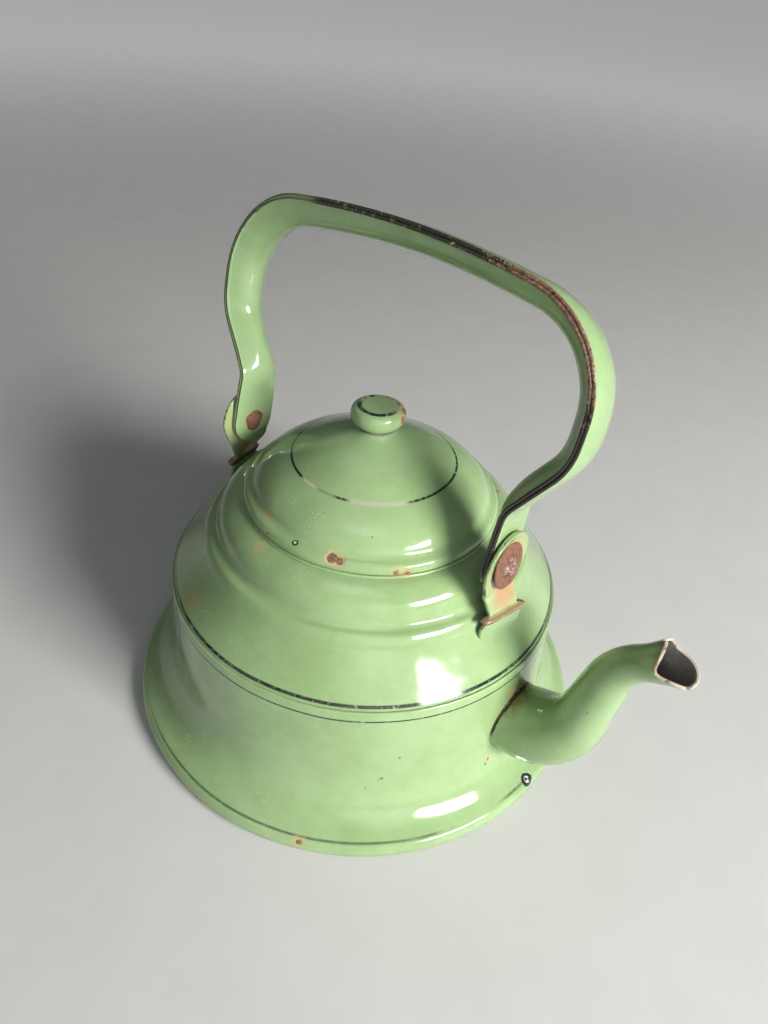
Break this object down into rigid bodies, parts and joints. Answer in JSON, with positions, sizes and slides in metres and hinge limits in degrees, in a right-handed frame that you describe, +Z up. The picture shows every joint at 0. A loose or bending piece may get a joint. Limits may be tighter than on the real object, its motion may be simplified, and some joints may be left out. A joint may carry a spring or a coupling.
{
  "type": "gooseneck kettle",
  "caption": "Enamelled steel stove-top kettle with stepped shoulder, flared foot, short swan-neck spout, lift-off domed lid and hollow bail handle swinging on riveted ears",
  "frame": {"origin": "centre of the flat base on the ground", "axes": "+X towards the spout and along the handle's pivots, +Y to the kettle's left, +Z up"},
  "size_m": [0.2381, 0.1988, 0.2088],
  "materials": {
    "enamel": "glossy pale green vitreous enamel on pressed steel, chipped and rusted at the edges",
    "rusted_steel": "bare steel, brown with rust"
  },
  "bodies": {
    "body": {"shoulder_shell": "enamel", "wall_shell": "enamel", "base_pan": "enamel", "spout_left_half": "enamel", "spout_right_half": "enamel", "front_ear": "enamel", "rear_ear": "enamel", "front_rivet": "rusted_steel", "rear_rivet": "rusted_steel", "front_washer": "rusted_steel", "rear_washer": "rusted_steel"},
    "handle": {"handle_outer_shell": "enamel", "handle_inner_shell": "enamel"},
    "lid": {"lid_shell": "enamel", "lid_collar": "enamel", "lid_knob": "enamel"}
  },
  "joints": [
    {"name": "handle_swing", "type": "hinge", "parent": "body", "child": "handle", "pos_m": [0, -0.006, 0.11], "axis": [1, 0, 0], "range_deg": [-93, 122]},
    {"name": "lid_lift", "type": "slide", "parent": "body", "child": "lid", "axis": [0, 0, 1], "range_m": [0, 0.05]}
  ]
}
